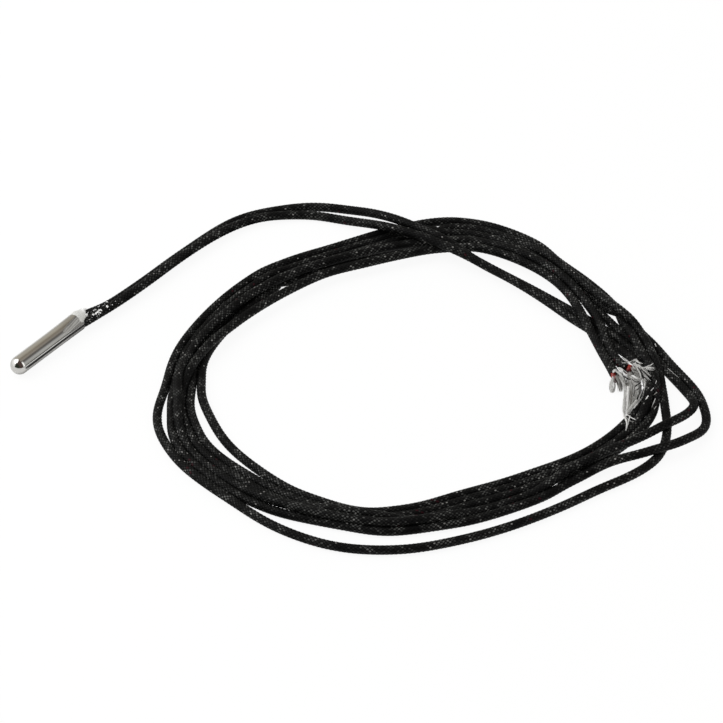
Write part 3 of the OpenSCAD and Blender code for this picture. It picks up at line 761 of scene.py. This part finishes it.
def hair_maker(hair_material):
    """A node tree that turns each line of a mesh into a lock of tapered, slightly waved hairs."""
    tree = bpy.data.node_groups.new("hairs", "GeometryNodeTree")
    given = tree_inputs(
        tree, ("Radius", "Float", HAIR_R * MM), ("Wave", "Float", HAIR_WAVE), ("Seed", "Int", HAIR_SEED),
    )

    def stored(name):
        return given.node("GeometryNodeInputNamedAttribute", {"data_type": "FLOAT"}, {"Name": name})

    def chance(number):
        """A number from 0 to 1 for each hair."""
        value = given.node("FunctionNodeRandomValue", {"data_type": "FLOAT"}, {
            2: 0.0, 3: 1.0, "Seed": given.other("Seed") + number,
        }, out=1)
        return value.then("FieldOnDomain", domain="CURVE", data_type="FLOAT")

    lines = given.then("MeshToCurve")
    lines = lines.then("DuplicateElements", {"Amount": stored("hairs") + 0.5}, domain="SPLINE")
    own = given.joined(*(chance(k + 1) * 2 - 1 for k in range(3)))
    share = chance(7)
    stout = chance(13) ** 5
    light = stored("light") + (chance(11) - 0.5) * (0.25 + 0.5 * stout)
    light = light * (0.3 + 0.7 * (chance(12) > DARK_HAIRS))
    tone = {"Name": "tone", "Value": light}
    lines = lines.then("StoreNamedAttribute", tone, data_type="FLOAT", domain="CURVE")
    lines = lines.then("TrimCurve", {"End": share.between(0, 0.6, HAIR_SHORTEST, 1.0)}, mode="FACTOR")
    lines = lines.then("ResampleCurve", {"Count": HAIR_POINTS}, mode="COUNT")
    along = given.node("GeometryNodeSplineParameter")
    spread = stored("root") + (stored("tip") - stored("root")) * along
    at = own.vector("MULTIPLY_ADD", (0.004, 0.004, 0.004), given.node("GeometryNodeInputPosition"))
    wave = given.node("ShaderNodeTexNoise", None, {"Vector": at, "Scale": 900.0, "Detail": 1.0}, out="Color")
    wave = wave.vector("SUBTRACT", (0.5, 0.5, 0.5)).scaled(spread * given.other("Wave"))
    lines = lines.then("SetPosition", {"Offset": wave.vector("ADD", own.scaled(spread))})
    ring = given.node("GeometryNodeCurvePrimitiveCircle", None, {"Resolution": 4, "Radius": 1.0})
    thick = given.other("Radius") * stored("size")
    thick = thick * along.between(0.5, 1.0, 1.0, 0.5) * (0.75 + 2.4 * stout)
    hairs = lines.then("CurveToMesh", {1: ring, "Scale": thick, "Fill Caps": True})
    hairs = hairs.then("SetShadeSmooth").then("RealizeInstances")
    hairs = hairs.then("SetMaterial", {"Material": hair_material})
    given.node("NodeGroupOutput", None, {0: hairs})
    return tree


def stored_on(source, key, values):
    """Keeps a number for each point of a mesh, which a node tree reads by its name."""
    source.data.attributes.new(key, "FLOAT", "POINT").data.foreach_set("value", np.array(values, np.float32))


def grown(name, source, tree, **inputs):
    """The mesh that a node tree makes from an object, as a plain object in its place."""
    grow = source.modifiers.new("grow", "NODES")
    grow.node_group = tree
    for item in tree.interface.items_tree:
        if item.item_type == "SOCKET" and item.in_out == "INPUT" and item.name in inputs:
            grow[item.identifier] = inputs[item.name]
    seen = source.evaluated_get(bpy.context.evaluated_depsgraph_get())
    made = bpy.data.objects.new(name, bpy.data.meshes.new_from_object(seen))
    bpy.data.objects.remove(source)
    bpy.context.scene.collection.objects.link(made)
    return made


def lock_lines(name, locks):
    """The middle line of each lock as loose edges, with the lock's own numbers on its points."""
    points, edges, kept = [], [], {"hairs": [], "root": [], "tip": [], "size": [], "light": []}
    for hairs, root, tip, size, light, path in locks:
        path = [seen_at(*spot) if len(spot) == 3 else on_lead(*spot, HAIR_CLEARANCE) for spot in path]
        line = smooth_line(path, LOCK_STEP) * MM
        edges += [(len(points) + k, len(points) + k + 1) for k in range(len(line) - 1)]
        points += line.tolist()
        for key, value in zip(kept, (hairs, root * MM, tip * MM, size, light)):
            kept[key] += [value] * len(line)
    source = mesh_object(name, points, [], edges)
    for key, values in kept.items():
        stored_on(source, key, values)
    return source


glass_hair, tree = material("glass_hairs", (0.7, 0.69, 0.66))
tone = tree.node("ShaderNodeAttribute", {"attribute_name": "tone"}, None, out="Fac")
shade = (tone + (tree.place().noise(1500, 3.0, 0.7) - 0.5) * 0.4).bands(
    (0.0, (0.005, 0.005, 0.005)), (0.2, (0.02, 0.019, 0.018)), (0.42, (0.16, 0.148, 0.13)),
    (0.6, (0.42, 0.405, 0.375)), (0.8, (0.78, 0.775, 0.75)), (1.0, (0.97, 0.965, 0.94)),
)
surface(glass_hair, base_color=shade, roughness=0.35, specular_ior_level=0.4)
hair_tree = hair_maker(glass_hair)
for ending in ("a", "b"):
    lines = lock_lines(f"fray_{ending}_lines", LOCKS[ending])
    fray = grown(f"fray_{ending}", lines, hair_tree, Radius=HAIR_R * MM, Wave=HAIR_WAVE, Seed=HAIR_SEED)
    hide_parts(f"glass_fray_{ending}")
    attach(fray, "root")

for lead, line, ending in ((lead_a, lead_lines[0], "a"), (lead_b, lead_lines[1], "b")):
    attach(lead, "root")
    line[0] * MM
    line * MM


# The capsule: a drawn tube of stainless steel with one end closed in a dome. Its mouth is pressed
# on the leads by two flats, which leave a V of scratched metal on the side that shows.
CAPSULE_R = 1.5
BORE_R = 1.3
TIP_X = -8.6
MOUTH_X = 6.4
AXIS_Z = 1.5
CAPSULE_SIDES = 160
CRIMP_START_X = 2.2
CRIMP_SLOPE = 0.28 / 4.2
CRIMP_FACING = math.radians(128)
# The direction across the flats, in y and z, along which the pressed metal is drawn out
FLAT_ACROSS = np.array([0.8, 0.6])
DRAWN_FROM_X = -1
DRAWN_OUT = 0.02
DRAWN_WIDER = 0.07
MOUTH_LEAN = 0.32
LEAN_LENGTH = 2
# Its rings round the dome, along the barrel, along the bore and round the bore's closed end
DOME_RINGS = 28
BARREL_RINGS = 90
BORE_RINGS = 50
BORE_END_RINGS = 12
# How far back from the mouth the rounded rim starts outside, is halfway and ends inside, and how
# far back the even rings of the bore start
RIM_OUTSIDE = 0.04
RIM_HALFWAY = 0.012
RIM_INSIDE = 0.03
BORE_BACK = 0.2
SHARP_ANGLE = math.radians(12)
# How the capsule lies: set along and aside in millimetres, and its slope across the table
SET_ALONG = 0.2
SET_ASIDE = 0.047
TURNED = 0.0244
STEEL = ((0.70, 0.69, 0.67), (0.82, 0.81, 0.79))


def crimped(points, radius):
    """Presses the points of a wall in to the two flats, and draws the pressed metal out a little."""
    facing = np.array([math.cos(CRIMP_FACING), math.sin(CRIMP_FACING)])
    depth = points[:, 1:] @ facing
    limit = radius - np.maximum(points[:, 0] - CRIMP_START_X, 0) * CRIMP_SLOPE
    pressed = np.sign(depth) * np.maximum(np.abs(depth) - limit, 0)
    points = points.copy()
    points[:, 1:] -= pressed[:, None] * facing
    across = (points[:, 1:] @ FLAT_ACROSS) / radius
    drawn = np.clip((points[:, 0] - DRAWN_FROM_X) / (MOUTH_X - DRAWN_FROM_X), 0, 1) ** 2
    points[:, 1:] += (drawn * (DRAWN_OUT + DRAWN_WIDER * across))[:, None] * FLAT_ACROSS
    points[:, 0] -= MOUTH_LEAN * across * np.clip((points[:, 0] - MOUTH_X + LEAN_LENGTH) / LEAN_LENGTH, 0, 1)
    return points


def askew(points):
    """Slopes points a degree and a half to how the capsule lies, and sets them a little to the coil."""
    shift = np.zeros_like(points)
    shift[:, 0] = SET_ALONG
    shift[:, 1] = SET_ASIDE + TURNED * points[:, 0]
    return points + shift


def capsule_mesh(name):
    """The tube, its rim and its bore as one closed shell."""
    dome_x = TIP_X + CAPSULE_R
    # Each ring's place along the capsule, its radius, and the radius of the wall that it belongs to
    rings = [
        (dome_x - CAPSULE_R * math.cos(a), CAPSULE_R * math.sin(a), CAPSULE_R)
        for a in np.linspace(0, np.pi / 2, DOME_RINGS)[1:]
    ]
    barrel = np.linspace(dome_x, MOUTH_X - RIM_OUTSIDE, BARREL_RINGS)[1:]
    rings += [(x, CAPSULE_R, CAPSULE_R) for x in barrel]
    rings += [
        (MOUTH_X - RIM_HALFWAY, CAPSULE_R - RIM_HALFWAY, CAPSULE_R),
        (MOUTH_X, CAPSULE_R - RIM_OUTSIDE, CAPSULE_R),
        (MOUTH_X, BORE_R + RIM_INSIDE, BORE_R),
        (MOUTH_X - RIM_INSIDE, BORE_R, BORE_R),
    ]
    rings += [(x, BORE_R, BORE_R) for x in np.linspace(MOUTH_X - BORE_BACK, dome_x, BORE_RINGS)]
    rings += [
        (dome_x - BORE_R * math.cos(a), BORE_R * math.sin(a), BORE_R)
        for a in np.linspace(np.pi / 2, 0, BORE_END_RINGS)[1:-1]
    ]
    turn = np.arange(CAPSULE_SIDES) / CAPSULE_SIDES * 2 * np.pi
    points = [
        crimped(np.stack([np.full(CAPSULE_SIDES, x), r * np.cos(turn), r * np.sin(turn)], axis=1), wall)
        for x, r, wall in rings
    ]
    points = askew(np.vstack([*points, [[TIP_X, 0, 0]], [[dome_x - BORE_R, 0, 0]]]))
    points[:, 2] += AXIS_Z
    # Turned over, these faces point into the metal, unlike the faces of the other shells
    faces = [[face[0], *face[:0:-1]] for face in shell_faces(len(rings), CAPSULE_SIDES)]
    made = mesh_object(name, points * MM, faces)
    made.data.set_sharp_from_angle(angle=SHARP_ANGLE)
    return made


capsule = capsule_mesh("steel_capsule")
steel, tree = material("polished_steel", (0.7, 0.69, 0.67))
place = tree.place()
drawn = place.stretched((60, 2600, 2600)).noise(1.0, 3.0, 0.6)
smears = place.stretched((220, 900, 900)).noise(1.0, 3.0)
spot = place.split()
crimp_area = spot.between((CRIMP_START_X - 0.6) * MM, (CRIMP_START_X + 2.0) * MM)
nicks = place.stretched((1400, 3800, 1400)).noise(1.0, 4.0, 0.7).between(0.60, 0.68)
streaks = place.stretched((150, 1700, 1700)).noise(1.0, 2.0, 0.55)
across = spot.other("Y") * FLAT_ACROSS[0] + spot.other("Z") * FLAT_ACROSS[1]
across = across - (spot - 4.4 * MM) * 0.16 + (streaks - 0.5) * (0.5 * MM)
scuffed = across.between(-0.2 * MM, 2.2 * MM).bands(
    (0.0, (0.48, 0.47, 0.46)), (0.25, (0.52, 0.51, 0.50)), (0.32, (1.0, 1.0, 0.98)),
    (0.39, (0.55, 0.54, 0.53)), (0.46, (1.0, 1.0, 0.98)), (0.54, (0.52, 0.51, 0.50)),
    (0.62, (0.86, 0.85, 0.83)), (0.69, (0.30, 0.29, 0.28)), (0.76, (0.60, 0.59, 0.57)),
)
surface(
    steel, metallic=1.0, base_color=crimp_area.colours(smears.between(0.3, 0.7).colours(*STEEL), scuffed),
    roughness=drawn.between(0.3, 0.7, 0.07, 0.14) + crimp_area * (0.10 + nicks * 0.12),
    normal=(drawn * 0.35 + crimp_area * (nicks * 0.4 + streaks * 1.2)).bump(0.006 * MM, 0.7),
)
capsule.data.materials.append(steel)
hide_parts("capsule")
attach(capsule, "root")


# The cement: it fills the capsule, stands out of the mouth as a rough white lump that is drawn out
# over the farther lead, and has left small flecks on both braids.
LUMP_RINGS = 20
LUMP_SIDES = 72
LUMP_IN_MOUTH = 0.6
LUMP_HOLLOW = 0.5
LUMP_ROUGH = 0.04
LUMP_AXIS = (0.16, 0.10)
LUMP_LEAN = math.radians(37)
# Half its width and half its height: at the mouth, how much it swells outside, and how much it narrows
LUMP_WIDE = (1.20, 0.50, 0.28)
LUMP_HIGH = (1.22, 0.10, 0.30)
# Its end is tucked in by this much, from this share of its length on, over this share
TUCK = 0.2
TUCK_FROM = 0.85
TUCK_LENGTH = 0.15
# It has swelled by this share of its length, and bulges in one direction round it, in degrees
SWELLED_BY = 0.3
BULGE = 0.30
BULGE_DIRECTION = 168
BULGE_WIDTH = 26
# How far past the mouth it reaches, by the direction round the axis
REACH_DIRECTIONS = [0, 37, 60, 90, 127, 150, 180, 217, 260, 310, 360]
REACH = [2.6, 3.1, 2.9, 2.2, 2.05, 2.1, 1.8, 0.6, 0.7, 1.6, 2.6]
CEMENT_DULL = ((0.68, 0.68, 0.64), (0.84, 0.84, 0.81))
CEMENT_EDGE = (1.0, 1.0, 0.98)


def lump_half(sizes, out, s):
    """Half the lump's width or height at a share s of its length, with out as the share outside."""
    at_mouth, swell, taper = sizes
    return at_mouth + swell * out * (1 - s) - taper * s - TUCK * max(0, s - TUCK_FROM) / TUCK_LENGTH


def lump_mesh(name):
    """The lump from inside the mouth to its ragged edge round the leads, as one closed shell."""
    turn = np.arange(LUMP_SIDES) / LUMP_SIDES * 2 * np.pi
    reach = np.interp(np.degrees(turn), REACH_DIRECTIONS, REACH)
    reach += 0.12 * np.sin(5 * turn + 1) + 0.1 * np.sin(11 * turn)
    points = []
    for k in range(LUMP_RINGS):
        s = k / (LUMP_RINGS - 1)
        x = MOUTH_X - LUMP_IN_MOUTH + (reach + LUMP_IN_MOUTH) * s
        out = min(1, s / SWELLED_BY)
        rough = 1 + LUMP_ROUGH * rng.normal(size=LUMP_SIDES) * min(1, 3 * s)
        rough = (rough + np.roll(rough, 1) + np.roll(rough, -1)) / 3
        bulge = np.exp(-((np.degrees(turn) - BULGE_DIRECTION) / BULGE_WIDTH) ** 2)
        rough *= 1 + BULGE * bulge * out * (1 - 0.8 * s)
        across = lump_half(LUMP_WIDE, out, s) * rough * np.cos(turn - LUMP_LEAN)
        depth = lump_half(LUMP_HIGH, out, s) * rough * np.sin(turn - LUMP_LEAN)
        y = across * FLAT_ACROSS[0] - depth * FLAT_ACROSS[1] + LUMP_AXIS[0]
        z = across * FLAT_ACROSS[1] + depth * FLAT_ACROSS[0] + LUMP_AXIS[1] + AXIS_Z
        points.append(np.stack([x, y, z], axis=1))
    ends = [points[0].mean(0), points[-1].mean(0) - [LUMP_HOLLOW, 0, 0]]
    return mesh_object(name, askew(np.vstack([*points, ends])) * MM, shell_faces(LUMP_RINGS, LUMP_SIDES))


cement, tree = material("white_cement", (0.82, 0.82, 0.78))
grains = tree.place().noise(1900, 4.0, 0.6)
lumps = tree.place().noise(520, 3.0)
edge = tree.place().split().between(8.1 * MM, 8.4 * MM)
surface(
    cement, base_color=edge.colours(lumps.between(0.35, 0.7).colours(*CEMENT_DULL), CEMENT_EDGE),
    roughness=0.55 + grains * 0.2, normal=(grains * 0.5 + lumps).bump(0.1 * MM, 0.9),
)
lump = lump_mesh("cement_lump")
lump.data.materials.append(cement)

# The flecks: the pixel of the photograph that shows each one, and its size
FLECKS = [
    (93.2, 314.6, 1), (94.6, 314.2, 1.1), (96, 313.4, 1.2), (97.2, 312.4, 1.2), (98.2, 311.2, 1.1),
    (99.2, 310.2, 1.1), (100.6, 309.9, 1.3), (101.4, 310.6, 0.9), (99, 312.6, 1), (100.4, 312.8, 0.9),
    (98.6, 314, 0.7), (93.6, 310.3, 1), (95.2, 309.8, 0.8), (107.2, 306.6, 1.5), (107, 302, 1.1),
    (103.4, 305.6, 0.8), (98.2, 306.8, 0.8), (99.4, 306.2, 0.6), (112.4, 304.8, 0.8), (104.8, 303.9, 0.6),
    (90, 321.4, 0.7), (89.2, 319.6, 0.5), (96.8, 316.4, 0.5), (109.4, 309.4, 0.6), (115.4, 301.2, 0.5),
    (88, 312.6, 0.6), (118.6, 303.6, 0.5), (92, 317.2, 0.5),
]
FLECK_CLEARANCE = 0.02
FLECK_R = 0.15
FLECK_SEED = 3


def fleck_maker(fleck_material):
    """A node tree that sets a lumpy fleck, turned its own way, on each point of a mesh."""
    tree = bpy.data.node_groups.new("flecks", "GeometryNodeTree")
    given = tree_inputs(tree, ("Radius", "Float", FLECK_R * MM), ("Seed", "Int", FLECK_SEED))
    turned = given.node("FunctionNodeRandomValue", {"data_type": "FLOAT_VECTOR"}, {
        "Min": (-0.5, -0.5, 0), "Max": (0.5, 0.5, 6.28), "Seed": given.other("Seed"),
    })
    shape = given.node("FunctionNodeRandomValue", {"data_type": "FLOAT_VECTOR"}, {
        "Min": (0.8, 0.6, 0.35), "Max": (1.5, 1.0, 0.6), "Seed": given.other("Seed") + 1,
    })
    size = given.node("GeometryNodeInputNamedAttribute", {"data_type": "FLOAT"}, {"Name": "size"})
    drop = given.node("GeometryNodeMeshIcoSphere", None, {
        "Radius": given.other("Radius"), "Subdivisions": 3,
    })
    made = given.then("MeshToPoints").then("InstanceOnPoints", {
        "Instance": drop, "Rotation": turned, "Scale": shape.scaled(size),
    })
    lumpy = given.node("ShaderNodeTexNoise", None, {"Scale": 9000.0, "Detail": 2.0}, out="Color")
    lumpy = lumpy.vector("SUBTRACT", (0.5, 0.5, 0.5)).scaled(given.other("Radius") * 0.9)
    made = made.then("RealizeInstances").then("SetPosition", {"Offset": lumpy})
    made = made.then("SetShadeSmooth").then("SetMaterial", {"Material": fleck_material})
    given.node("NodeGroupOutput", None, {0: made})
    return tree


spots = [on_lead(across, down, FLECK_CLEARANCE) * MM for across, down, size in FLECKS]
fleck_points = mesh_object("fleck_points", spots, [])
stored_on(fleck_points, "size", [size for across, down, size in FLECKS])
flecks = grown("cement_flecks", fleck_points, fleck_maker(cement), Radius=FLECK_R * MM, Seed=FLECK_SEED)
for piece in (lump, flecks):
    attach(piece, "root")
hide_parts("potting")


# What the capsule holds keeps the shape of its solids: a ceramic chip in a glass bead at the dome,
# its two tinned wires, the brass splices under amber film sleeves, and the leads' cores.
def mottled(name, preview, dark, light, scale, roughness):
    """A material whose colour varies softly between two."""
    made, tree = material(name, preview)
    surface(made, base_color=tree.place().noise(scale).colours(dark, light), roughness=roughness)
    return made


def bare_metal(name, colour, scale, dullest):
    """A material of one metal, a little duller in some places than in others."""
    made, tree = material(name, colour)
    dull = tree.place().noise(scale).between(0.3, 0.7, 0.2, dullest)
    surface(made, base_color=colour, metallic=1.0, roughness=dull)
    return made


chip_ceramic = mottled("dark_ceramic", (0.08, 0.08, 0.09), (0.05, 0.05, 0.055), (0.12, 0.12, 0.13), 2500, 0.7)
bead_glass = mottled("green_glass", (0.25, 0.35, 0.28), (0.20, 0.30, 0.24), (0.32, 0.42, 0.34), 900, 0.12)
film = mottled("amber_film", (0.6, 0.38, 0.12), (0.55, 0.33, 0.10), (0.66, 0.44, 0.16), 700, 0.25)
tinned = bare_metal("tinned_copper", (0.75, 0.74, 0.72), 3000, 0.35)
brass = bare_metal("brass", (0.72, 0.55, 0.25), 2500, 0.4)
for look, names in (
    (chip_ceramic, ["thermistor_chip"]),
    (bead_glass, ["glass_bead"]),
    (tinned, ["bead_wire_a", "bead_wire_b", "conductor_a", "conductor_b"]),
    (brass, ["splice_a", "splice_b"]),
    (film, ["insulating_sleeve_a", "insulating_sleeve_b"]),
    (insulation, ["core_a", "core_b"]),
):
    for name in names:
        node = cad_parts[name]
        node.data.materials.clear()
        node.data.materials.append(look)


# The floor is a plain white table. It shows white to the camera and keeps the part's soft shadow.
# Mirrored in a glossy surface it shows a painted reflection, glowing for reflected rays alone: a dark strip
# in front of the capsule, and pale grey beyond.
TABLE_HALF = 4
TABLE_Z = -0.00006
TABLE_PAINTED_REFLECTION = ((0.70, 0.70, 0.69), (0.03, 0.03, 0.03))
TABLE_GLOW = 1.04
GLOW_SHARE = 0.88

corners = [(x * TABLE_HALF, y * TABLE_HALF, 0) for x, y in ((-1, -1), (1, -1), (1, 1), (-1, 1))]
floor = mesh_object("table", corners, [[0, 1, 2, 3]], smooth=False)
floor.location.z = TABLE_Z
table_top, tree = material("white_table", (0.85, 0.85, 0.85))
surface(table_top, base_color=(0.82, 0.82, 0.81), roughness=0.8, specular_ior_level=0.1)
body = Wire(table_top.node_tree, table_top.node_tree.nodes["Principled BSDF"].outputs[0])
ray = tree.node("ShaderNodeLightPath", out="Is Camera Ray")
white = tree.node("ShaderNodeEmission", None, {"Color": (1, 1, 1, 1), "Strength": TABLE_GLOW})
spot = tree.place().split()
# Painted reflection: a glowing dark strip near the capsule and pale grey beyond it, seen only in reflections
painted_reflection_strip = spot.other("Y").between(-7.8 * MM, -5.8 * MM).colours(*TABLE_PAINTED_REFLECTION)
mirrored = spot.between(-6.0 * MM, -4.8 * MM) * spot.other("Y").between(-2.8 * MM, -2.2 * MM, 1, 0)
mirrored = mirrored * ray.other("Is Glossy Ray")
dark = tree.node("ShaderNodeEmission", None, {"Color": painted_reflection_strip, "Strength": 1.0})
shown = tree.node("ShaderNodeMixShader", None, {0: ray * GLOW_SHARE, 1: body, 2: white})
shown = tree.node("ShaderNodeMixShader", None, {0: mirrored, 1: shown, 2: dark})
table_top.node_tree.links.new(shown.socket, table_top.node_tree.nodes["Material Output"].inputs["Surface"])
floor.data.materials.append(table_top)


# The light: an even white room and one soft lamp behind the dome. To the camera the room is white.
# In the polished steel it shows as a studio does, pale with a darker band, and dark behind the
# camera.
ROOM_GREY = (0.62, 0.62, 0.62)
LAMP_SIZE = 0.68
LAMP_ENERGY = 2.4
LAMP_DISTANCE = 0.75
TO_LAMP = np.array([-0.30, 0.525, 0.794])

world = bpy.data.worlds.new("white_room")
bpy.context.scene.world = world
world.use_nodes = True
tree = Wire(world.node_tree)
toward = tree.node("ShaderNodeTexCoord", out="Generated").split()
round_x = tree.maths("ARCTAN2", toward.other("Z"), toward.other("Y")) * (180 / math.pi)
along_body = round_x.between(0, 180).bands(
    (0.06, (0.475, 0.45, 0.40)), (0.17, (0.475, 0.45, 0.395)), (0.27, (0.45, 0.42, 0.35)),
    (0.35, (0.34, 0.31, 0.26)), (0.42, (0.23, 0.20, 0.16)), (0.50, (0.27, 0.24, 0.20)),
    (0.57, (0.28, 0.255, 0.225)), (0.62, (0.15, 0.135, 0.12)), (0.70, (0.11, 0.105, 0.10)),
    (0.755, (0.28, 0.28, 0.275)), (0.83, (0.47, 0.47, 0.46)), (0.91, (0.42, 0.42, 0.40)),
    (0.98, (0.36, 0.36, 0.34)),
)
ring = round_x.between(112, 132).colours(along_body, (1.3, 1.3, 1.28))
cap = toward.between(-0.70, -0.60).colours((0.022, 0.026, 0.018), (0.075, 0.052, 0.046))
cap = toward.other("Y").between(0.22, 0.42).colours(cap, (1.0, 1.0, 0.99))
mirrored = toward.between(0.10, 0.14).colours(cap, ring)
mirrored = toward.between(0.38, 0.48).colours(mirrored, along_body)
mirrored = toward.between(0.61, 0.66).colours(mirrored, (0.46, 0.455, 0.435))
ray = tree.node("ShaderNodeLightPath", out="Is Camera Ray")
room = ray.other("Is Glossy Ray").colours(ROOM_GREY, mirrored)
room = ray.colours(room, (1.0, 1.0, 1.0))
backdrop = world.node_tree.nodes["Background"]
world.node_tree.links.new(room.socket, backdrop.inputs["Color"])
backdrop.inputs["Strength"].default_value = 1.0

lamp_data = bpy.data.lights.new("softbox", "AREA")
lamp_data.shape = "DISK"
lamp_data.size = LAMP_SIZE
lamp_data.energy = LAMP_ENERGY
lamp = bpy.data.objects.new("softbox", lamp_data)
lamp.location = TO_LAMP * LAMP_DISTANCE
lamp.rotation_euler = Vector(TO_LAMP).to_track_quat("Z", "Y").to_euler()
bpy.context.scene.collection.objects.link(lamp)

bpy.context.scene.view_settings.view_transform = "Standard"
